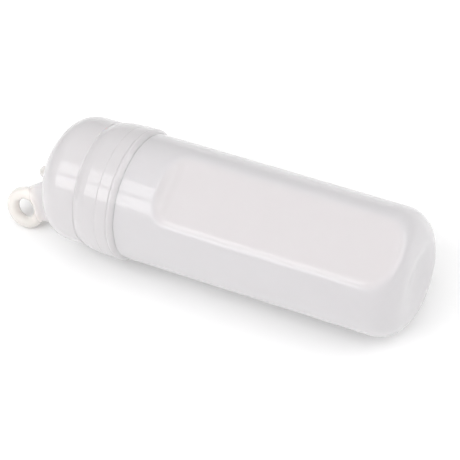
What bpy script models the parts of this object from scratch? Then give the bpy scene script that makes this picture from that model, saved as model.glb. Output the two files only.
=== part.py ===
"""Moulded plastic sample vial with a domed screw cap, lying on its side.

Three pieces: the vial, the cap with its two lanyard eyes, and the sealing ring between them.
The vial's axis runs along X, with the cap towards -X. Each piece is modelled standing upright
on its own axis, +Z towards the cap, and an empty lays the whole assembly down.
"""
import math

import bmesh
import bpy

MM = 0.001

# Driving dimensions, in millimetres.
LENGTH = 94.0             # base to crown of the dome, without the eyes
BODY_R = 15.0             # round part of the vial
WALL = 1.4                # wall of the vial and of the dome
BASE_CORNER_R = 7.2       # rounded edge of the base
BASE_RING_WIDTH = 1.1     # flat standing ring inside that edge
BASE_RECESS = 0.8         # depth of the dished middle of the base
FLAT_DISTANCE = 12.5      # axis to each flat panel
FLAT_END_Z = 56.4         # where the flat panels start to turn outwards, towards the cap
FLAT_END_R = 4.5          # radius of that hollow turn
FLAT_AZIMUTH = -20.5      # degrees, turn of the first panel's face from straight up

CAP_LENGTH = 24.7         # rim to crown
CAP_R = 14.9              # straight part below the dome
STEP_R = 14.72            # bottom of the small step below it
CROWN_R = 20.9            # large radius over the top of the dome
KNUCKLE_R = 6.5           # small radius between crown and straight part
LIP_R = 15.8              # widest part, at the rim
LIP_HEIGHT = 1.55
LEDGE_Z = 14.8            # height in the cap of the ledge behind the sealing ring

NECK_R = 12.3             # root of the neck's thread
MOUTH_R = 11.0            # bore of the neck
MOUTH_Z = 82.2            # top of the neck
THREAD_DEPTH = 0.8
THREAD_PITCH = 3.5
THREAD_TURNS = 2.0
THREAD_START = 4.6        # first turn above the cap's rim; the two threads start half a turn apart
THREAD_GAP = 0.3          # radial gap between crest and root of the mating threads
THREAD_CREST_HALF = 0.35  # half the width of the ridge at its crest
THREAD_BASE_HALF = 0.85   # half its width at its foot, which is sunk into the wall
THREAD_SUNK = 0.35        # depth of that foot in the wall
THREAD_END = 0.05         # height that is left where a thread fades out

SEAL_THICKNESS = 1.3
SEAL_WIDTH = 2.1
SEAL_PLAY = 0.4           # between the ring and the cap's wall
GAP = 0.3                 # between touching pieces
EASE = 0.3                # bevel on small edges
SHOULDER_R = 0.9          # rounded shoulder of the body, inside the cap's lip
LIP_PLAY = 0.35           # between the body and the inside of the lip

EYE_RING_R = 3.75         # centre line of an eye's ring
EYE_WIRE_R = 1.45         # half the thickness of the ring
EYE_OUT = 12.4            # centre of an eye's hole from the axis
EYE_RISES = (7.4, 4.4)    # centres of the two holes above the crown
EYE_SPREAD = 27.0         # degrees, each eye from straight down
WEB_HALF = 1.1            # half the thickness of the web that carries a ring
WEB_GRIP_R = 4.6          # how far from the hole's centre the web still laps over the ring
WEB_ANGLES = (145, 300)   # degrees round the hole, the stretch of the ring that the web holds
WEB_ROOT = (2.6, 13.3)    # where the web meets the dome, from the axis
WEB_SUNK = 0.96           # that root drawn in, to end halfway through the dome's wall

SIDES = 40                # facets of a turned piece

CAP_RIM_Z = LENGTH - CAP_LENGTH
CAP_ROOT_R = NECK_R + THREAD_DEPTH + THREAD_GAP
ATTIC_R = CAP_ROOT_R - 1.4
SHOULDER_Z = CAP_RIM_Z + 0.9
EYE_LOW = (EYE_OUT + EYE_RING_R) * math.cos(math.radians(EYE_SPREAD)) + EYE_WIRE_R
AXIS_HEIGHT = max(LIP_R, EYE_LOW)
TOTAL_LENGTH = LENGTH + EYE_RISES[0] + EYE_RING_R + EYE_WIRE_R


def polar(centre, radius, angle):
    """The point (r, z) at a distance and an angle, in degrees from the +r direction."""
    turn = math.radians(angle)
    return (centre[0] + radius * math.cos(turn), centre[1] + radius * math.sin(turn))


def arc(centre, radius, start, end, count):
    return [polar(centre, radius, start + (end - start) * i / count) for i in range(count + 1)]


def dome_profile(height, radius, crown, knuckle, count):
    """Quarter outline of a dome from its top point down to its straight side."""
    inset = radius - knuckle
    crown_z = height - crown
    knuckle_z = crown_z + math.sqrt((crown - knuckle) ** 2 - inset ** 2)
    meet = math.degrees(math.atan2(knuckle_z - crown_z, inset))
    top = arc((0, crown_z), crown, 90, meet, count)
    side = arc((inset, knuckle_z), knuckle, meet, 0, count)
    return [(0, height)] + top[1:] + side[1:]


def dome_height(r):
    """Height of the dome's outer surface above the cap's rim, at a distance r from the axis."""
    outline = dome_profile(CAP_LENGTH, CAP_R, CROWN_R, KNUCKLE_R, 12)
    for (r0, z0), (r1, z1) in zip(outline, outline[1:]):
        if r0 <= r <= r1:
            return z0 + (z1 - z0) * (r - r0) / (r1 - r0)
    return outline[-1][1]


def make_material(name, colour, roughness, alpha):
    material = bpy.data.materials.new(name)
    material.use_nodes = True
    shader = material.node_tree.nodes["Principled BSDF"]
    shader.inputs["Base Color"].default_value = (*colour, 1.0)
    shader.inputs["Roughness"].default_value = roughness
    shader.inputs["Metallic"].default_value = 0.0
    shader.inputs["Alpha"].default_value = alpha
    material.diffuse_color = (*colour, alpha)
    return material


def make_collection(name):
    collection = bpy.data.collections.new(name)
    bpy.context.scene.collection.children.link(collection)
    return collection


def add_object(name, data, collection, material=None):
    item = bpy.data.objects.new(name, data)
    collection.objects.link(item)
    if material:
        data.materials.append(material)
    return item


def make_cutter(item):
    item.display_type = "WIRE"
    item.hide_render = True
    return item


def turned(name, profile, collection, material=None):
    """A turned solid: the open outline (r, z), outer side first, swept round the axis."""
    mesh = bpy.data.meshes.new(name)
    points = [(r * MM, 0, z * MM) for r, z in profile]
    edges = [(i, i + 1) for i in range(len(points) - 1)]
    mesh.from_pydata(points, edges, [])
    item = add_object(name, mesh, collection, material)
    screw = item.modifiers.new("turn", "SCREW")
    screw.axis = "Z"
    screw.steps = SIDES
    screw.render_steps = SIDES
    screw.use_merge_vertices = True
    screw.merge_threshold = 0.00001
    screw.use_smooth_shade = True
    return item


def boolean(item, other, operation):
    modifier = item.modifiers.new(other.name, "BOOLEAN")
    modifier.operation = operation
    modifier.solver = "EXACT"
    modifier.object = other


def helical_thread(name, root_r, outward, first_z, half_turn, collection):
    """A ridge that climbs round a cylinder and fades into it at both ends.

    outward is 1 for a ridge that stands out from root_r and -1 for one that stands in from it.
    """
    steps = int(SIDES * THREAD_TURNS)
    foot_r = root_r - outward * THREAD_SUNK
    mesh = bmesh.new()
    rings = []
    for i in range(steps + 1):
        angle = 2 * math.pi * (i / SIDES + half_turn / 2)
        height = first_z + THREAD_PITCH * i / SIDES
        fade = min(1.0, 4.0 * i / SIDES, 4.0 * (steps - i) / SIDES)
        crest_r = root_r + outward * (THREAD_END + (THREAD_DEPTH - THREAD_END) * fade)
        section = [
            (foot_r, -THREAD_BASE_HALF),
            (crest_r, -THREAD_CREST_HALF),
            (crest_r, THREAD_CREST_HALF),
            (foot_r, THREAD_BASE_HALF),
        ]
        ring = []
        for r, dz in section:
            place = (r * math.cos(angle) * MM, r * math.sin(angle) * MM, (height + dz) * MM)
            ring.append(mesh.verts.new(place))
        rings.append(ring)
    for low, high in zip(rings, rings[1:]):
        for j in range(4):
            k = (j + 1) % 4
            mesh.faces.new((low[j], low[k], high[k], high[j]))
    mesh.faces.new(rings[0])
    mesh.faces.new(list(reversed(rings[-1])))
    bmesh.ops.recalc_face_normals(mesh, faces=mesh.faces)
    data = bpy.data.meshes.new(name)
    mesh.to_mesh(data)
    mesh.free()
    return make_cutter(add_object(name, data, collection))


def plate(name, outline, half_thickness, collection):
    """A flat plate with the outline (x, y), as a closed mesh."""
    curve = bpy.data.curves.new(name, "CURVE")
    curve.dimensions = "2D"
    curve.fill_mode = "BOTH"
    curve.extrude = half_thickness * MM
    spline = curve.splines.new("POLY")
    spline.points.add(len(outline) - 1)
    for point, (x, y) in zip(spline.points, outline):
        point.co = (x * MM, y * MM, 0, 1)
    spline.use_cyclic_u = True
    drawn = bpy.data.objects.new(name + "_curve", curve)
    collection.objects.link(drawn)
    bpy.context.view_layer.update()
    evaluated = drawn.evaluated_get(bpy.context.evaluated_depsgraph_get())
    data = bpy.data.meshes.new_from_object(evaluated)
    bpy.data.objects.remove(drawn)
    mesh = bmesh.new()
    mesh.from_mesh(data)
    bmesh.ops.remove_doubles(mesh, verts=mesh.verts, dist=0.000001)
    bmesh.ops.recalc_face_normals(mesh, faces=mesh.faces)
    mesh.to_mesh(data)
    mesh.free()
    return make_cutter(add_object(name, data, collection))


def panel_cutter(name, inward, azimuth, base_z, collection):
    """The block that shaves one flat panel off a round body, with a hollow turn at its upper end.

    inward is 0 for the outer side, and the wall's thickness for the side of the cavity.
    """
    centre = (FLAT_DISTANCE + FLAT_END_R, FLAT_END_Z)
    radius = FLAT_END_R + inward
    depth = BODY_R - FLAT_DISTANCE + EASE
    sweep = math.degrees(math.acos(1 - depth / radius))
    beyond = BODY_R + 3.0
    turn = arc(centre, radius, 180, 180 - sweep, 8)
    outline = [(turn[0][0], base_z)] + turn + [(beyond, turn[-1][1]), (beyond, base_z)]
    cutter = plate(name, outline, BODY_R + 2.0, collection)
    cutter.rotation_euler = (math.radians(90), 0, math.radians(azimuth))
    return cutter


def vial_outer():
    ring_r = BODY_R - BASE_CORNER_R
    recess_r = ring_r - BASE_RING_WIDTH
    profile = [(0, MOUTH_Z), (NECK_R - EASE, MOUTH_Z), (NECK_R, MOUTH_Z - EASE)]
    profile += [(NECK_R, SHOULDER_Z + 2 * SHOULDER_R)]
    profile += arc((BODY_R - SHOULDER_R, SHOULDER_Z), SHOULDER_R, 90, 0, 3)
    profile += arc((ring_r, BASE_CORNER_R), BASE_CORNER_R, 0, -90, 8)
    profile += [(recess_r, 0), (recess_r - BASE_RECESS, BASE_RECESS), (0, BASE_RECESS + EASE)]
    return profile


def vial_inner():
    """Cavity, from above the mouth down to the floor, which follows the recessed base."""
    inner_r = BODY_R - WALL
    corner = BASE_CORNER_R - WALL
    floor_z = WALL + BASE_RECESS + EASE
    above = MOUTH_Z + 5.0
    narrowing = inner_r - MOUTH_R
    top_z = SHOULDER_Z - WALL
    profile = [(0, above), (MOUTH_R, above), (MOUTH_R, top_z + narrowing), (inner_r, top_z)]
    profile += arc((inner_r - corner, floor_z + corner), corner, 0, -90, 6)
    profile += [(0, floor_z)]
    return profile


def make_vial(parts, cutters, material):
    vial = turned("vial_body", vial_outer(), parts, material)
    cavity = make_cutter(turned("vial_cavity", vial_inner(), cutters))
    for number, turn in enumerate((0, 180), start=1):
        azimuth = FLAT_AZIMUTH + turn
        outer = panel_cutter(f"outer_panel_{number}", 0, azimuth, -1.0, cutters)
        inner = panel_cutter(f"inner_panel_{number}", WALL, azimuth, 0.5, cutters)
        boolean(vial, outer, "DIFFERENCE")
        boolean(cavity, inner, "DIFFERENCE")
    thread = helical_thread("neck_thread", NECK_R, 1, CAP_RIM_Z + THREAD_START, 0, cutters)
    boolean(vial, thread, "UNION")
    boolean(vial, cavity, "DIFFERENCE")
    return vial


def make_eye(number, azimuth, rise, cutters):
    """One lanyard eye: a round ring on a web that grows out of the dome."""
    centre = (EYE_OUT, CAP_LENGTH + rise)
    upper, lower = WEB_ANGLES
    outline = [polar(centre, WEB_GRIP_R, upper)]
    outline += arc(centre, EYE_RING_R, upper, lower, 8)
    outline += [polar(centre, WEB_GRIP_R, lower)]
    root_in, root_out = WEB_ROOT
    root_steps = 6
    for i in range(root_steps + 1):
        r = root_out + (root_in - root_out) * i / root_steps
        outline.append((r * WEB_SUNK, dome_height(r) - WALL / 2))
    web = plate(f"eye_web_{number}", outline, WEB_HALF, cutters)
    web.rotation_euler = (math.radians(90), 0, math.radians(azimuth))
    bpy.ops.mesh.primitive_torus_add(
        major_radius=EYE_RING_R * MM, minor_radius=EYE_WIRE_R * MM, major_segments=28, minor_segments=10
    )
    ring = bpy.context.object
    ring.name = f"eye_ring_{number}"
    for collection in list(ring.users_collection):
        collection.objects.unlink(ring)
    cutters.objects.link(make_cutter(ring))
    turn = math.radians(azimuth)
    ring.rotation_euler = (math.radians(90), 0, turn)
    ring.location = (EYE_OUT * math.cos(turn) * MM, EYE_OUT * math.sin(turn) * MM, centre[1] * MM)
    return web, ring


def cap_profile():
    """Outer side from the crown down over flare, bead and lip, then up the inside."""
    bead_r = LIP_R - 0.04
    bead_low, bead_high = LIP_HEIGHT + 0.4, 4.5
    flare_low, flare_high = 4.95, 10.85
    lip_bore = BODY_R + LIP_PLAY
    lip_bore_top = 2.6
    profile = dome_profile(CAP_LENGTH, CAP_R, CROWN_R, KNUCKLE_R, 6)
    profile += [(CAP_R, flare_high + 0.2), (STEP_R, flare_high)]
    profile += [(15.22, 9.5), (15.52, 8.0), (15.7, flare_low)]
    profile += [(bead_r - 0.1, (flare_low + bead_high) / 2), (bead_r, bead_high), (bead_r, bead_low)]
    profile += [(bead_r - 0.1, LIP_HEIGHT + 0.2), (LIP_R, LIP_HEIGHT), (LIP_R, 0.15), (LIP_R - 0.15, 0)]
    profile += [(lip_bore, 0), (lip_bore, lip_bore_top)]
    profile += [(CAP_ROOT_R, lip_bore_top + 1.1), (CAP_ROOT_R, LEDGE_Z), (ATTIC_R, LEDGE_Z)]
    inside = dome_profile(CAP_LENGTH - WALL, ATTIC_R, CROWN_R - WALL, KNUCKLE_R - WALL, 5)
    profile += list(reversed(inside))
    return profile


def make_cap(parts, cutters, material):
    cap = turned("screw_cap", cap_profile(), parts, material)
    pieces = [helical_thread("cap_thread", CAP_ROOT_R, -1, THREAD_START, 1, cutters)]
    for number, rise in enumerate(EYE_RISES, start=1):
        side = 1 if number == 1 else -1
        pieces += make_eye(number, 180 + side * EYE_SPREAD, rise, cutters)
    for piece in pieces:
        boolean(cap, piece, "UNION")
        piece.parent = cap
    cap.location = (0, 0, CAP_RIM_Z * MM)
    return cap


def make_seal(parts, material):
    outer = CAP_ROOT_R - SEAL_PLAY
    inner = outer - SEAL_WIDTH
    top = CAP_RIM_Z + LEDGE_Z - GAP
    bottom = top - SEAL_THICKNESS
    profile = [(inner + EASE, top), (outer - EASE, top), (outer, top - EASE), (outer, bottom + EASE)]
    profile += [(outer - EASE, bottom), (inner + EASE, bottom), (inner, bottom + EASE), (inner, top - EASE)]
    profile += [(inner + EASE, top)]
    return turned("seal_ring", profile, parts, material)


def main():
    for item in list(bpy.data.objects):
        bpy.data.objects.remove(item)
    parts = make_collection("sample_vial")
    cutters = make_collection("cutters")
    milky = make_material("vial_plastic", (0.86, 0.85, 0.86), 0.25, 0.6)
    milky_cap = make_material("cap_plastic", (0.84, 0.83, 0.85), 0.25, 0.7)
    silicone = make_material("seal_silicone", (0.9, 0.9, 0.88), 0.45, 0.8)
    frame = bpy.data.objects.new("vial_axis", None)
    parts.objects.link(frame)
    frame.location = (TOTAL_LENGTH / 2 * MM, 0, AXIS_HEIGHT * MM)
    frame.rotation_euler = (0, math.radians(-90), 0)
    vial = make_vial(parts, cutters, milky)
    cap = make_cap(parts, cutters, milky_cap)
    seal = make_seal(parts, silicone)
    for item in (vial, cap, seal):
        item.parent = frame
    for item in cutters.objects:
        if item.parent is None:
            item.parent = frame
    bpy.context.view_layer.update()


main()
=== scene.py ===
import math

import bpy
import numpy as np
from mathutils import Matrix, Vector


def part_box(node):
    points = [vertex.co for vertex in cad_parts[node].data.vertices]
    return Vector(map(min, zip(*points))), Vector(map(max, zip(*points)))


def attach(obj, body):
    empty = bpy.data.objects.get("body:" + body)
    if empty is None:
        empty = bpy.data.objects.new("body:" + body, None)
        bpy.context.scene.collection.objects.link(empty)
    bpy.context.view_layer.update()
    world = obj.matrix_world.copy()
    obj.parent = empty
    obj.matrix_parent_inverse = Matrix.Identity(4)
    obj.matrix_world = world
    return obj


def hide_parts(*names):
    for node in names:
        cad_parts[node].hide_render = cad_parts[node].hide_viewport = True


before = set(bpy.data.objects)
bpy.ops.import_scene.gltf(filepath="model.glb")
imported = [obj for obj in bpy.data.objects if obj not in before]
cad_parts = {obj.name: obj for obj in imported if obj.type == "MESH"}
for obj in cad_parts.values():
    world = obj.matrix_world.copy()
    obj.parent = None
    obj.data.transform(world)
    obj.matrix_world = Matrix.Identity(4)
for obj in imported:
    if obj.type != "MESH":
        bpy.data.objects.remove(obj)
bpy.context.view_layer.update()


# ---- Vial body -------------------------------------------------------------------------------
# One injection moulding of natural, milky polypropylene: the tube, its dished base, two flat
# panels for the fingers or a label, and a reduced neck with a right-hand thread. Outlines are
# in millimetres on the vial's own axis, +Z towards the cap, and the finished mesh is laid down.
MM = 0.001
vial_low, vial_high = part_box("vial_body")
BODY_R = (vial_high.y - vial_low.y) / 2 / MM
MOUTH_Z = (vial_high.x - vial_low.x) / MM
BASE_CENTRE = Vector((vial_high.x, 0, (vial_low.z + vial_high.z) / 2))
LAID_OVER = Matrix.Rotation(math.radians(-90), 4, "Y")
LAY_DOWN = Matrix.Translation(BASE_CENTRE) @ LAID_OVER @ Matrix.Scale(MM, 4)

cap_low, cap_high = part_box("screw_cap")
RIM_Z = (vial_high.x - cap_high.x) / MM
WALL = 1.4
BASE_CORNER_R = 7.2
BASE_RING_WIDTH = 0.8
DISH_DEPTH = 0.65
DISH_CROWN = 0.1
DISH_SLOPE = 4.4
FLOOR_EXTRA = 0.45
SHOULDER_ABOVE_RIM = 1.7
INNER_CONE_LOW = 1.9
INNER_CONE_HIGH = 0.2
NECK_R = 12.3
MOUTH_R = 11.0
NECK_ZONE_LOW = 1.0
NECK_ZONE_HIGH = 0.5
THREAD_START = 4.6
THREAD_DEPTH = 0.8
PANEL_DISTANCE = 12.5
PANEL_END = 56.4
PANEL_END_R = 4.5
PANEL_TURN = math.radians(-20.5)
PANEL_ZONE_LOW = 56
PANEL_ZONE_HIGH = 62
VIAL_MILK = (0.765, 0.748, 0.762)
# A lighter, warmer colour for the flat panels: painted light, standing in for the brighter look of the
# panels under the lamps.
PANEL_WARM_PAINTED_LIGHT = (0.81, 0.765, 0.765)
MOTTLE_SHADE = 0.975
TURN_SEGMENTS = 256
ARC_STEP = math.radians(7)
ARC_PIECES = 4
ON_WALL = 0.01


def rounded_outline(corners):
    """Points (radius, height) along a line through corners (r, z, fillet radius, longest step).

    A fillet radius rounds its corner with an arc, and the step divides the line that follows.
    """
    places = [Vector(corner[:2]) for corner in corners]
    points = []
    for i, (here, corner) in enumerate(zip(places, corners)):
        fillet = corner[2]
        if fillet and 0 < i < len(corners) - 1:
            back = (places[i - 1] - here).normalized()
            ahead = (places[i + 1] - here).normalized()
            half = back.angle(ahead) / 2
            trim = fillet / math.tan(half)
            centre = here + (back + ahead).normalized() * (fillet / math.sin(half))
            start = here + back * trim - centre
            sweep = start.angle_signed(here + ahead * trim - centre)
            count = max(ARC_PIECES, math.ceil(abs(sweep) / ARC_STEP))
            arc = [centre + Matrix.Rotation(-sweep * k / count, 2) @ start for k in range(count + 1)]
        else:
            arc = [here]
        if points:
            left_off = points[-1]
            run = arc[0] - left_off
            pieces = max(1, math.ceil(run.length / corners[i - 1][3]))
            points += [left_off + run * k / pieces for k in range(1, pieces)]
        points += arc
    return [tuple(point) for point in points]


def turned_skin(name, outline, inside_from, threaded):
    """Sweeps an outline round the axis as one closed skin, and marks its inner side and thread zone.

    The outline runs from pole to pole. inside_from is the number of its first point on the inner
    side, and threaded is the thread zone's lowest and highest point and its radius.
    """
    rings = outline[1:-1]
    turns = np.linspace(0, 2 * math.pi, TURN_SEGMENTS, endpoint=False)
    points = [(0, 0, outline[0][1])]
    for r, z in rings:
        points += [(r * math.cos(turn), r * math.sin(turn), z) for turn in turns]
    points.append((0, 0, outline[-1][1]))
    last = len(points) - 1
    faces = []
    for j in range(TURN_SEGMENTS):
        k = (j + 1) % TURN_SEGMENTS
        faces.append((0, 1 + k, 1 + j))
        for i in range(len(rings) - 1):
            low = 1 + i * TURN_SEGMENTS
            high = low + TURN_SEGMENTS
            faces.append((low + j, low + k, high + k, high + j))
        top = 1 + (len(rings) - 1) * TURN_SEGMENTS
        faces.append((top + j, top + k, last))
    mesh = bpy.data.meshes.new(name)
    mesh.from_pydata(points, [], faces)
    low_z, high_z, thread_r = threaded
    inside = [0.0]
    thread = [0.0]
    for i, (r, z) in enumerate(rings, start=1):
        inside += [float(i >= inside_from)] * TURN_SEGMENTS
        thread += [float(low_z < z < high_z and abs(r - thread_r) < ON_WALL)] * TURN_SEGMENTS
    for label, values in (("inside", inside + [1.0]), ("threaded", thread + [0.0])):
        attribute = mesh.attributes.new(label, "FLOAT", "POINT")
        attribute.data.foreach_set("value", values)
    mesh.shade_smooth()
    item = bpy.data.objects.new(name, mesh)
    bpy.context.scene.collection.objects.link(item)
    return item


class Term:
    """A number inside a node tree, so that a rule is written as an ordinary formula."""

    def __init__(self, tree, socket):
        self.tree = tree
        self.socket = socket

    def math(self, operation, *others):
        node = self.tree.nodes.new("ShaderNodeMath")
        node.operation = operation
        for slot, term in zip(node.inputs, (self, *others)):
            if isinstance(term, Term):
                self.tree.links.new(term.socket, slot)
            else:
                slot.default_value = term
        return Term(self.tree, node.outputs[0])

    def __add__(self, other):
        return self.math("ADD", other)

    def __sub__(self, other):
        return self.math("SUBTRACT", other)

    def __mul__(self, other):
        return self.math("MULTIPLY", other)

    def __truediv__(self, other):
        return self.math("DIVIDE", other)

    def __neg__(self):
        return self.math("MULTIPLY", -1)

    def clamped(self, low, high):
        return self.math("MAXIMUM", low).math("MINIMUM", high)

    def length_with(self, other):
        return (self * self + other * other).math("SQRT")


class Rule:
    """A geometry node tree with named inputs, which ends in Realize Instances and Set Material."""

    def __init__(self, name, sizes):
        self.tree = bpy.data.node_groups.new(name, "GeometryNodeTree")
        self.sockets = {}
        self.add_input("Geometry", "NodeSocketGeometry")
        for label, size in sizes.items():
            self.add_input(label, "NodeSocketFloat").default_value = size
        self.add_input("Material", "NodeSocketMaterial")
        self.tree.interface.new_socket("Geometry", in_out="OUTPUT", socket_type="NodeSocketGeometry")
        self.entry = self.tree.nodes.new("NodeGroupInput")

    def add_input(self, label, kind):
        socket = self.tree.interface.new_socket(label, in_out="INPUT", socket_type=kind)
        self.sockets[label] = socket.identifier
        return socket

    def node(self, kind, links=None, **settings):
        node = self.tree.nodes.new(kind)
        for label, setting in settings.items():
            setattr(node, label, setting)
        for label, source in (links or {}).items():
            self.put(source, node.inputs[label])
        return node

    def put(self, source, target):
        if isinstance(source, Term):
            source = source.socket
        if isinstance(source, bpy.types.NodeSocket):
            self.tree.links.new(source, target)
        else:
            target.default_value = source

    def size(self, label):
        return Term(self.tree, self.entry.outputs[label])

    def mark(self, label):
        node = self.node("GeometryNodeInputNamedAttribute", data_type="FLOAT")
        node.inputs["Name"].default_value = label
        return Term(self.tree, node.outputs["Attribute"])

    def position(self):
        place = self.node("GeometryNodeInputPosition")
        split = self.node("ShaderNodeSeparateXYZ", {0: place.outputs[0]})
        return [Term(self.tree, socket) for socket in split.outputs]

    def finish(self, geometry):
        real = self.node("GeometryNodeRealizeInstances", {"Geometry": geometry})
        painted = self.node("GeometryNodeSetMaterial", {"Geometry": real.outputs[0]})
        self.put(self.entry.outputs["Material"], painted.inputs["Material"])
        leave = self.tree.nodes.new("NodeGroupOutput")
        self.put(painted.outputs[0], leave.inputs[0])

    def bake_on(self, item, material, sizes=None):
        """Runs the rule on an object and keeps the plain mesh that it gives."""
        modifier = item.modifiers.new(self.tree.name, "NODES")
        modifier.node_group = self.tree
        modifier[self.sockets["Material"]] = material
        for label, size in (sizes or {}).items():
            modifier[self.sockets[label]] = float(size)
        bpy.context.view_layer.update()
        graph = bpy.context.evaluated_depsgraph_get()
        seen = item.evaluated_get(graph)
        mesh = bpy.data.meshes.new_from_object(seen, preserve_all_data_layers=True, depsgraph=graph)
        item.modifiers.remove(modifier)
        item.data = mesh


def side_panels():
    """Draws the points beyond two opposite planes in to them, with soft edges and a hollow upper end.

    It also marks how far each point lies in a panel, from Tint on the panel down to 0; the material paints
    the panels lighter and warmer by this mark, as painted light.
    """
    rule = Rule("side_panels", {
        "Distance": PANEL_DISTANCE, "Softness": 1.4, "Wall": WALL, "End": PANEL_END,
        "End Radius": PANEL_END_R, "Turn": PANEL_TURN, "Tint": 0.4,
    })
    x, y, z = rule.position()
    bend = rule.size("End Radius") + rule.mark("inside") * rule.size("Wall")
    past = (z - rule.size("End")).clamped(0, bend)
    turned_out = (bend * bend - past * past).math("SQRT")
    limit = rule.size("Distance") + rule.size("End Radius") - turned_out
    across = rule.size("Turn").math("COSINE")
    aside = rule.size("Turn").math("SINE")
    along = x * across + y * aside
    front = along.math("SMOOTH_MIN", limit, rule.size("Softness")) - along
    behind = (-along).math("SMOOTH_MIN", limit, rule.size("Softness")) + along
    shift = front - behind
    offset = rule.node("ShaderNodeCombineXYZ", {0: shift * across, 1: shift * aside})
    moved = rule.node("GeometryNodeSetPosition", {"Geometry": rule.entry.outputs["Geometry"]})
    rule.put(offset.outputs[0], moved.inputs["Offset"])
    marked = rule.node("GeometryNodeStoreNamedAttribute", {"Geometry": moved.outputs[0], "Name": "panel"})
    tint = (along.math("ABSOLUTE") - limit + rule.size("Tint")).clamped(0, 1)
    rule.put(tint, marked.inputs["Value"])
    rule.finish(marked.outputs[0])
    return rule


def screw_thread():
    """Raises a helical ridge on the points marked as threaded, inwards where the Depth is below 0."""
    rule = Rule("screw_thread", {
        "Depth": THREAD_DEPTH, "Pitch": 3.5, "Turns": 2.0, "Start": 0.0, "Half Turns": 0.0,
        "Crest": 0.35, "Foot": 0.7, "Run In": 0.25,
    })
    x, y, z = rule.position()
    radius = x.length_with(y)
    turn = y.math("ARCTAN2", x) / (2 * math.pi) - rule.size("Half Turns") / 2
    turn = turn - turn.math("FLOOR")
    climbed = (z - rule.size("Start")) / rule.size("Pitch") - turn
    lap = climbed.math("ROUND")
    away = (climbed - lap).math("ABSOLUTE") * rule.size("Pitch")
    along = lap + turn
    from_end = along.math("MINIMUM", rule.size("Turns") - along)
    fade = (from_end / rule.size("Run In")).clamped(0, 1)
    flank = ((rule.size("Foot") - away) / (rule.size("Foot") - rule.size("Crest"))).clamped(0, 1)
    eased = (-((flank * math.pi).math("COSINE")) + 1) / 2
    height = eased * fade * rule.size("Depth") * rule.mark("threaded")
    offset = rule.node("ShaderNodeCombineXYZ", {0: x / radius * height, 1: y / radius * height})
    moved = rule.node("GeometryNodeSetPosition", {"Geometry": rule.entry.outputs["Geometry"]})
    rule.put(offset.outputs[0], moved.inputs["Offset"])
    rule.finish(moved.outputs[0])
    return rule


def milky_plastic(name, colour):
    """Natural polypropylene: a cloudy, slightly mottled wall under a smooth moulded gloss."""
    material = bpy.data.materials.new(name)
    material.use_nodes = True
    nodes = material.node_tree.nodes
    links = material.node_tree.links
    shader = nodes["Principled BSDF"]
    place = nodes.new("ShaderNodeTexCoord")
    cloud = nodes.new("ShaderNodeTexNoise")
    cloud.inputs["Scale"].default_value = 90
    cloud.inputs["Detail"].default_value = 3
    links.new(place.outputs["Object"], cloud.inputs["Vector"])
    mottle = nodes.new("ShaderNodeMix")
    mottle.data_type = "RGBA"
    mottle.inputs["A"].default_value = (*colour, 1)
    mottle.inputs["B"].default_value = (*[c * MOTTLE_SHADE for c in colour], 1)
    links.new(cloud.outputs["Fac"], mottle.inputs["Factor"])
    links.new(mottle.outputs["Result"], shader.inputs["Base Color"])
    shader.inputs["Transmission Weight"].default_value = 0.35
    shader.inputs["Roughness"].default_value = 0.45
    shader.inputs["IOR"].default_value = 1.45
    shader.inputs["Specular IOR Level"].default_value = 0.1
    shader.inputs["Subsurface Weight"].default_value = 1.0
    shader.inputs["Subsurface Radius"].default_value = (1.0, 0.96, 0.98)
    shader.inputs["Subsurface Scale"].default_value = 0.0004
    shader.inputs["Coat Weight"].default_value = 0.7
    shader.inputs["Coat Roughness"].default_value = 0.06
    ripple = nodes.new("ShaderNodeTexNoise")
    ripple.inputs["Scale"].default_value = 220
    ripple.inputs["Detail"].default_value = 2
    links.new(place.outputs["Object"], ripple.inputs["Vector"])
    bump = nodes.new("ShaderNodeBump")
    bump.inputs["Strength"].default_value = 0.05
    bump.inputs["Distance"].default_value = 0.0002
    links.new(ripple.outputs["Fac"], bump.inputs["Height"])
    links.new(bump.outputs["Normal"], shader.inputs["Normal"])
    links.new(bump.outputs["Normal"], shader.inputs["Coat Normal"])
    return material


def tint_where(material, label, colour):
    """Turns the surface's colour to another one where a mark on the mesh says so, and returns the mark."""
    nodes = material.node_tree.nodes
    links = material.node_tree.links
    base = nodes["Principled BSDF"].inputs["Base Color"]
    mark = nodes.new("ShaderNodeAttribute")
    mark.attribute_name = label
    tint = nodes.new("ShaderNodeMix")
    tint.data_type = "RGBA"
    tint.inputs["B"].default_value = (*colour, 1)
    links.new(mark.outputs["Fac"], tint.inputs["Factor"])
    links.new(base.links[0].from_socket, tint.inputs["A"])
    links.new(tint.outputs["Result"], base)
    return mark.outputs["Fac"]


inner_r = BODY_R - WALL
inner_corner = BASE_CORNER_R - WALL
ring_r = BODY_R - BASE_CORNER_R
dish_r = ring_r - BASE_RING_WIDTH
shoulder_z = RIM_Z + SHOULDER_ABOVE_RIM
floor_z = WALL + DISH_DEPTH + FLOOR_EXTRA
outer_side = rounded_outline([
    (0, DISH_DEPTH + DISH_CROWN, 0, 0.8),
    (dish_r - DISH_SLOPE, DISH_DEPTH, 20.0, 0.4),
    (dish_r, 0, 10.0, 0.4),
    (BODY_R, 0, BASE_CORNER_R, 1.4),
    (BODY_R, PANEL_ZONE_LOW, 0, 0.35),
    (BODY_R, PANEL_ZONE_HIGH, 0, 1.4),
    (BODY_R, shoulder_z, 0.6, 0.4),
    (NECK_R, shoulder_z + 0.5, 0.5, 0.22),
    (NECK_R, MOUTH_Z, 0.35, 0.4),
    (MOUTH_R, MOUTH_Z, 0.35, 1.2),
    (MOUTH_R, shoulder_z + INNER_CONE_HIGH, 0.6, 0.5),
])
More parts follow.
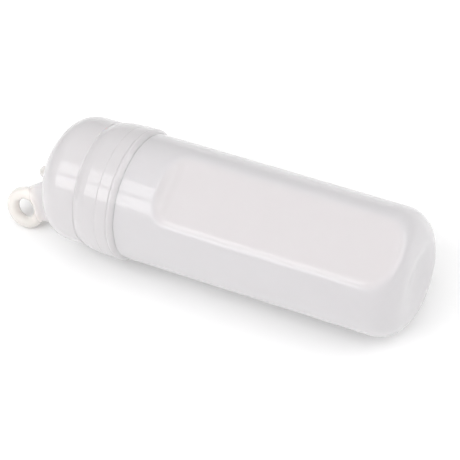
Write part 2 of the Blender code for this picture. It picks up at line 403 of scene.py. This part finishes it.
inner_side = rounded_outline([
    (inner_r, shoulder_z - INNER_CONE_LOW, 0, 1.4),
    (inner_r, PANEL_ZONE_HIGH, 0, 0.35),
    (inner_r, PANEL_ZONE_LOW, 0, 1.4),
    (inner_r, floor_z, inner_corner, 0.8),
    (0, floor_z, 0, 1),
])
neck_zone = (shoulder_z + NECK_ZONE_LOW, MOUTH_Z - NECK_ZONE_HIGH, NECK_R)
vial = turned_skin("vial_body_shell", outer_side + inner_side, len(outer_side), neck_zone)
vial_plastic = milky_plastic("vial_plastic", VIAL_MILK)
# Paints the flat panels lighter and warmer than the round wall: painted light.
tint_where(vial_plastic, "panel", PANEL_WARM_PAINTED_LIGHT)
panel_rule = side_panels()
thread_rule = screw_thread()
panel_rule.bake_on(vial, vial_plastic)
thread_rule.bake_on(vial, vial_plastic, {"Start": RIM_Z + THREAD_START})
vial.data.transform(LAY_DOWN)
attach(vial, "vial")
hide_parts("vial_body")


# ---- Screw cap -------------------------------------------------------------------------------
# The other moulding, in the same milky plastic: a dome over a threaded skirt with two low beads
# and a thin flared lip. Both lanyard eyes are moulded on and flow into the dome, so the cap is
# one piece. Heights count from its rim.
CAP_R = 14.9
CROWN_R = 20.9
KNUCKLE_R = 6.5
BASE_TO_CROWN = 94.0
CAP_LENGTH = BASE_TO_CROWN - RIM_Z
INSIDE_CAD = 0.01
LIP_R = (cap_high.y - cap_low.y) / 2 / MM - INSIDE_CAD
THREAD_ROOT_R = 13.4
LEDGE_Z = 14.8
SKIRT_ZONE_LOW = 4.0
SKIRT_ZONE_HIGH = 0.3
ATTIC_R = 12.0
LIP_PLAY = 0.012
DOME_STEP = 0.5
ATTIC_STEP = 1.0
EYE_WIRE_R = 1.45
EYE_RING_R = 3.75
EYE_OUT = 12.4
EYE_RISES = (7.4, 4.4)
EYE_SPREAD = 27.0
EYE_BOX_LOW = (0.5, -4.0, 11.0)
EYE_BOX_HIGH = (18.5, 4.0, 39.0)
SKIN_LEVEL = 0.5
CAP_MILK = (0.765, 0.745, 0.755)
# A lighter cream for the eyes: painted light, standing in for light showing through the clear ring.
EYE_PAINTED_LIGHT_CREAM = (0.935, 0.885, 0.85)
CAP_TRANSMISSION = (0.35, 0.45)
CAP_ROUGHNESS = (0.45, 0.2)


def dome_outline(height, radius, crown, knuckle, step):
    """Half a dome's outline: a wide arc over the crown, then a tighter one down to the straight side."""
    inset = radius - knuckle
    crown_z = height - crown
    knuckle_z = crown_z + math.sqrt((crown - knuckle) ** 2 - inset ** 2)
    meet = math.atan2(knuckle_z - crown_z, inset)
    points = []
    for centre_r, centre_z, bend, start, end in (
        (0, crown_z, crown, math.pi / 2, meet), (inset, knuckle_z, knuckle, meet, 0)
    ):
        count = math.ceil(bend * (start - end) / step)
        for angle in np.linspace(start, end, count + 1)[1 if points else 0:]:
            points.append((centre_r + bend * math.cos(angle), centre_z + bend * math.sin(angle)))
    return points


skirt_outline = rounded_outline([
    (ATTIC_R, LEDGE_Z, 0.3, 0.4),
    (THREAD_ROOT_R, LEDGE_Z, 0.3, 0.22),
    (THREAD_ROOT_R, 3.7, 0.3, 0.4),
    (BODY_R + LIP_PLAY, 2.6, 0.4, 0.5),
    (BODY_R + LIP_PLAY, 0, 0.01, 0.3),
    (LIP_R, 1.15, 0.6, 0.3),
    (LIP_R, 1.6, 0.4, 0.3),
    (15.66, 1.75, 0.15, 0.3),
    (15.76, 1.95, 0.3, 0.3),
    (15.76, 4.5, 0.4, 0.3),
    (15.65, 4.7, 0.15, 0.3),
    (15.70, 4.95, 0.3, 0.3),
    (15.52, 8.0, 3.0, 0.3),
    (15.22, 9.5, 3.0, 0.3),
    (14.72, 10.85, 0.19, 0.3),
    (CAP_R, 11.05, 0.3, 0.4),
    (CAP_R, 15.0, 0, 1),
])
dome = dome_outline(CAP_LENGTH, CAP_R, CROWN_R, KNUCKLE_R, DOME_STEP)
attic = dome_outline(CAP_LENGTH - WALL, ATTIC_R, CROWN_R - WALL, KNUCKLE_R - WALL, ATTIC_STEP)
skirt_zone = (SKIRT_ZONE_LOW, LEDGE_Z - SKIRT_ZONE_HIGH, THREAD_ROOT_R)
cap = turned_skin("screw_cap_shell", attic + skirt_outline + dome[::-1], 0, skirt_zone)
cap_plastic = milky_plastic("cap_plastic", CAP_MILK)
# The "clear" mark paints the eyes a lighter cream (painted light) and raises the transmission and
# smoothness of their plastic.
clearer_with_painted_light = tint_where(cap_plastic, "clear", EYE_PAINTED_LIGHT_CREAM)
for label, (milky, clear) in (("Transmission Weight", CAP_TRANSMISSION), ("Roughness", CAP_ROUGHNESS)):
    spread = cap_plastic.node_tree.nodes.new("ShaderNodeMapRange")
    spread.inputs["To Min"].default_value = milky
    spread.inputs["To Max"].default_value = clear
    cap_plastic.node_tree.links.new(clearer_with_painted_light, spread.inputs["Value"])
    target = cap_plastic.node_tree.nodes["Principled BSDF"].inputs[label]
    cap_plastic.node_tree.links.new(spread.outputs["Result"], target)
thread_rule.bake_on(cap, cap_plastic, {"Depth": -THREAD_DEPTH, "Start": THREAD_START, "Half Turns": 1})


def lanyard_eye():
    """A round ring on a web that grows out of the dome, as a solid with soft inner corners.

    The eye stands in the X-Z plane. Ring, web and dome are distance fields that are blended and skinned,
    and "clear" marks how far each point stands out from the dome. The cap's material makes the eye clearer
    by this mark and paints it a lighter cream, as painted light.
    """
    rule = Rule("lanyard_eye", {
        "Out": EYE_OUT, "Height": CAP_LENGTH + EYE_RISES[0], "Ring Radius": EYE_RING_R,
        "Wire Radius": EYE_WIRE_R, "Web Half": 1.1, "Web Softness": 0.9, "Ring Softness": 0.8,
        "Upper Lean": math.radians(56), "Upper Reach": 4.33,
        "Lower Lean": math.radians(-99), "Lower Reach": 2.6,
        "Far Lean": math.radians(-25), "Far Reach": 0.7,
        "Blend": 1.8, "Sunk": 0.03, "Flare": 2.4, "Root": 0.8, "Grain": 0.19,
        "Clear From": 5.0, "Clear Over": 3.0,
    })
    x, y, z = rule.position()
    off_x = x - rule.size("Out")
    off_z = z - rule.size("Height")
    from_hole = off_x.length_with(off_z)
    ring = (from_hole - rule.size("Ring Radius")).length_with(y) - rule.size("Wire Radius")
    edges = rule.size("Ring Radius") - from_hole
    for side in ("Upper", "Lower", "Far"):
        lean = rule.size(side + " Lean")
        edge = off_z * lean.math("COSINE") - off_x * lean.math("SINE") - rule.size(side + " Reach")
        edges = edges.math("MAXIMUM", edge)
    faces = y.math("ABSOLUTE") - rule.size("Web Half")
    web = edges.math("SMOOTH_MAX", faces, rule.size("Web Softness"))
    eye = ring.math("SMOOTH_MIN", web, rule.size("Ring Softness"))
    inset = CAP_R - KNUCKLE_R
    crown_z = CAP_LENGTH - CROWN_R
    knuckle_rise = math.sqrt((CROWN_R - KNUCKLE_R) ** 2 - inset ** 2)
    radius = x.length_with(y)
    crown = radius.length_with(z - crown_z) - CROWN_R
    side_z = (z - (crown_z + knuckle_rise)).math("MAXIMUM", 0)
    knuckle = (radius - inset).math("MAXIMUM", 0).length_with(side_z) - KNUCKLE_R
    over_crown = (radius * knuckle_rise).math("LESS_THAN", (z - crown_z) * inset)
    dome_field = knuckle + (crown - knuckle) * over_crown
    joined = (dome_field + rule.size("Sunk")).math("SMOOTH_MIN", eye, rule.size("Blend"))
    kept = joined.math("MAXIMUM", eye - rule.size("Flare"))
    kept = kept.math("MAXIMUM", -dome_field - rule.size("Root"))
    box = rule.node("GeometryNodeVolumeCube", {"Min": EYE_BOX_LOW, "Max": EYE_BOX_HIGH})
    rule.put((-kept + SKIN_LEVEL).clamped(0, 1), box.inputs["Density"])
    for axis, start, end in zip("XYZ", EYE_BOX_LOW, EYE_BOX_HIGH):
        rule.put(rule.size("Grain").math("POWER", -1) * (end - start), box.inputs["Resolution " + axis])
    skin = rule.node("GeometryNodeVolumeToMesh", {"Volume": box.outputs[0], "Threshold": SKIN_LEVEL})
    place = rule.node("GeometryNodeInputPosition")
    even = rule.node("GeometryNodeBlurAttribute", data_type="FLOAT_VECTOR")
    rule.put(place.outputs[0], next(s for s in even.inputs if s.type == "VECTOR"))
    even.inputs["Iterations"].default_value = 2
    moved = rule.node("GeometryNodeSetPosition", {"Geometry": skin.outputs[0]})
    rule.put(next(s for s in even.outputs if s.type == "VECTOR"), moved.inputs["Position"])
    clear = rule.node("GeometryNodeStoreNamedAttribute", {"Geometry": moved.outputs[0], "Name": "clear"})
    away = (dome_field - rule.size("Clear From")) / rule.size("Clear Over")
    rule.put(away.clamped(0, 1), clear.inputs["Value"])
    rule.finish(clear.outputs[0])
    return rule


eye_rule = lanyard_eye()
for number, (rise, side) in enumerate(zip(EYE_RISES, (1, -1)), start=1):
    eye = bpy.data.objects.new(f"eye_{number}", bpy.data.meshes.new(f"eye_{number}"))
    bpy.context.scene.collection.objects.link(eye)
    eye_rule.bake_on(eye, cap_plastic, {"Height": CAP_LENGTH + rise})
    eye.data.transform(Matrix.Rotation(math.radians(180 + side * EYE_SPREAD), 4, "Z"))
    union = cap.modifiers.new("moulded_on", "BOOLEAN")
    union.operation = "UNION"
    union.solver = "MANIFOLD"
    union.object = eye
    bpy.context.view_layer.update()
    graph = bpy.context.evaluated_depsgraph_get()
    both = cap.evaluated_get(graph)
    mesh = bpy.data.meshes.new_from_object(both, preserve_all_data_layers=True, depsgraph=graph)
    cap.modifiers.remove(union)
    cap.data = mesh
    bpy.data.objects.remove(eye)
cap.data.shade_smooth()
cap.data.transform(LAY_DOWN @ Matrix.Translation((0, 0, RIM_Z)))
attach(cap, "cap")
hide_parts("screw_cap")


# ---- Sealing ring ----------------------------------------------------------------------------
# A soft silicone washer with rounded edges, held between the neck's mouth and the ledge in the
# cap. It stops fine gold and water from creeping out along the thread.
seal_low, seal_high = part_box("seal_ring")
SEAL_SEGMENTS = 128
SILICONE_WHITE = (0.86, 0.85, 0.82)
BLOOM_SHADE = 0.93


def washer():
    """A rounded rectangle swept round a circle."""
    rule = Rule("washer", {"Outer Radius": 13.0, "Width": 2.1, "Thickness": 1.3, "Edge Radius": 0.4})
    width = rule.size("Width")
    path = rule.node("GeometryNodeCurvePrimitiveCircle", {"Radius": rule.size("Outer Radius") - width / 2})
    path.inputs["Resolution"].default_value = SEAL_SEGMENTS
    section = rule.node("GeometryNodeCurvePrimitiveQuadrilateral")
    rule.put(width, section.inputs["Width"])
    rule.put(rule.size("Thickness"), section.inputs["Height"])
    rounded = rule.node("GeometryNodeFilletCurve", {"Curve": section.outputs[0]})
    rule.put(rule.size("Edge Radius"), rounded.inputs["Radius"])
    swept = rule.node("GeometryNodeCurveToMesh", {"Curve": path.outputs[0]})
    rule.put(rounded.outputs[0], swept.inputs["Profile Curve"])
    rule.finish(swept.outputs[0])
    return rule


def soft_silicone(name, colour):
    """Translucent white silicone with a faint dusty bloom."""
    material = bpy.data.materials.new(name)
    material.use_nodes = True
    nodes = material.node_tree.nodes
    links = material.node_tree.links
    shader = nodes["Principled BSDF"]
    place = nodes.new("ShaderNodeTexCoord")
    bloom = nodes.new("ShaderNodeTexNoise")
    bloom.inputs["Scale"].default_value = 700
    links.new(place.outputs["Object"], bloom.inputs["Vector"])
    dusty = nodes.new("ShaderNodeMix")
    dusty.data_type = "RGBA"
    dusty.inputs["A"].default_value = (*colour, 1)
    dusty.inputs["B"].default_value = (*[c * BLOOM_SHADE for c in colour], 1)
    links.new(bloom.outputs["Fac"], dusty.inputs["Factor"])
    links.new(dusty.outputs["Result"], shader.inputs["Base Color"])
    shader.inputs["Roughness"].default_value = 0.55
    shader.inputs["Subsurface Weight"].default_value = 0.6
    shader.inputs["Subsurface Scale"].default_value = 0.002
    return material


seal = bpy.data.objects.new("seal_ring_soft", bpy.data.meshes.new("seal_ring_soft"))
bpy.context.scene.collection.objects.link(seal)
seal_silicone = soft_silicone("seal_silicone", SILICONE_WHITE)
washer().bake_on(seal, seal_silicone, {
    "Outer Radius": (seal_high.y - seal_low.y) / 2 / MM,
    "Thickness": (seal_high.x - seal_low.x) / MM,
})
seal.data.shade_smooth()
seal_z = (BASE_CENTRE.x - (seal_low.x + seal_high.x) / 2) / MM
seal.data.transform(LAY_DOWN @ Matrix.Translation((0, 0, seal_z)))
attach(seal, "seal")
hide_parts("seal_ring")


# ---- Studio ----------------------------------------------------------------------------------
# A pale table top in a softly lit room, with a large two-pane light over the cap and a broad dim
# one over the base, seen from in front and well above.
FLOOR_HALF = 3.0
FLOOR_GREY = (0.88, 0.88, 0.88, 1)
floor_mesh = bpy.data.meshes.new("floor")
corners = [(-1, -1), (1, -1), (1, 1), (-1, 1)]
floor_mesh.from_pydata([(x * FLOOR_HALF, y * FLOOR_HALF, 0) for x, y in corners], [], [(0, 1, 2, 3)])
floor = bpy.data.objects.new("floor", floor_mesh)
bpy.context.scene.collection.objects.link(floor)
paper = bpy.data.materials.new("pale_paper")
paper.use_nodes = True
paper_shader = paper.node_tree.nodes["Principled BSDF"]
paper_shader.inputs["Base Color"].default_value = FLOOR_GREY
paper_shader.inputs["Roughness"].default_value = 0.9
paper_shader.inputs["Specular IOR Level"].default_value = 0.1
floor_mesh.materials.append(paper)

# The room glows from above, from the front and a little from behind.
GLOW_UP = 1.08
GLOW_FRONT = 0.80
GLOW_BACK = 0.32
world = bpy.data.worlds.new("soft_room")
bpy.context.scene.world = world
world.use_nodes = True
background = world.node_tree.nodes["Background"]
heading = world.node_tree.nodes.new("ShaderNodeTexCoord")
split = world.node_tree.nodes.new("ShaderNodeSeparateXYZ")
world.node_tree.links.new(heading.outputs["Generated"], split.inputs[0])
far, above = [Term(world.node_tree, split.outputs[axis]) for axis in ("Y", "Z")]
glow = above.math("MAXIMUM", 0) * GLOW_UP + (-far).math("MAXIMUM", 0) * GLOW_FRONT
glow = glow + far.math("MAXIMUM", 0) * GLOW_BACK
world.node_tree.links.new(glow.socket, background.inputs["Strength"])
background.inputs["Color"].default_value = (1.0, 1.0, 1.0, 1)

# The camera stands off from a point on the vial's axis. Its direction, distance and shift are set out
# first, and the whole is then rolled about that axis.
CAMERA_TURN = math.radians(28.04)
CAMERA_RISE = math.radians(35.34)
CAMERA_ROLL = math.radians(17)
CAMERA_DISTANCE = 507.55
CAMERA_SHIFT = (10.5, -5.02)
APEX_FROM_AIM = 34.97
LENS = 172.2
SENSOR = 36

lean = Matrix.Rotation(-CAMERA_ROLL, 3, "X")
back = Vector((
    math.sin(CAMERA_TURN) * math.cos(CAMERA_RISE),
    -math.cos(CAMERA_TURN) * math.cos(CAMERA_RISE),
    math.sin(CAMERA_RISE),
))
side = Vector((0, 0, 1)).cross(back).normalized()
upward = back.cross(side)
spot = back * CAMERA_DISTANCE + side * CAMERA_SHIFT[0] + upward * CAMERA_SHIFT[1]
axes = Matrix((lean @ side, lean @ upward, lean @ back)).transposed()
crown_x = BASE_CENTRE.x - BASE_TO_CROWN * MM
aim = Vector((crown_x + APEX_FROM_AIM * MM, 0, BASE_CENTRE.z))
camera_data = bpy.data.cameras.new("camera")
camera_data.lens = LENS
camera_data.sensor_width = SENSOR
camera = bpy.data.objects.new("camera", camera_data)
camera.matrix_world = Matrix.Translation(aim + lean @ spot * MM) @ axes.to_4x4()
bpy.context.scene.collection.objects.link(camera)
bpy.context.scene.camera = camera
bpy.context.scene.view_settings.view_transform = "Standard"


def soft_light(name, place, away, size, power):
    """A rectangular lamp at a place, with its back to the direction away."""
    lamp_data = bpy.data.lights.new(name, "AREA")
    lamp_data.shape = "RECTANGLE"
    lamp_data.size, lamp_data.size_y = size
    lamp_data.energy = power
    lamp = bpy.data.objects.new(name, lamp_data)
    rise = away.cross(Vector((1, 0, 0))).normalized()
    turned = Matrix((rise.cross(away), rise, away)).transposed()
    lamp.matrix_world = Matrix.Translation(place) @ turned.to_4x4()
    bpy.context.scene.collection.objects.link(lamp)


LIGHT_FACE = math.radians(50.0)
LIGHT_AWAY = 0.415
PANE = (0.299, 0.152)
PANE_GAP = 0.045
PANE_ASIDE = -0.229
PANE_POWERS = (0.50, 0.42)
SIDE_AWAY = 0.5
SIDE_SIZE = (0.40, 0.40)
SIDE_POWER = 0.98
out = Vector((0, -math.cos(LIGHT_FACE), math.sin(LIGHT_FACE)))
rise = Vector((1, 0, 0)).cross(out)
middle = Vector((aim.x + PANE_ASIDE, 0, BASE_CENTRE.z)) + out * LIGHT_AWAY
for number, (way, power) in enumerate(zip((1, -1), PANE_POWERS), start=1):
    soft_light(f"pane_{number}", middle + rise * way * (PANE[1] + PANE_GAP) / 2, out, PANE, power)
right_out = Vector((0.75, 0.12, 0.65)).normalized()
soft_light("side_light", aim + right_out * SIDE_AWAY, right_out, SIDE_SIZE, SIDE_POWER)
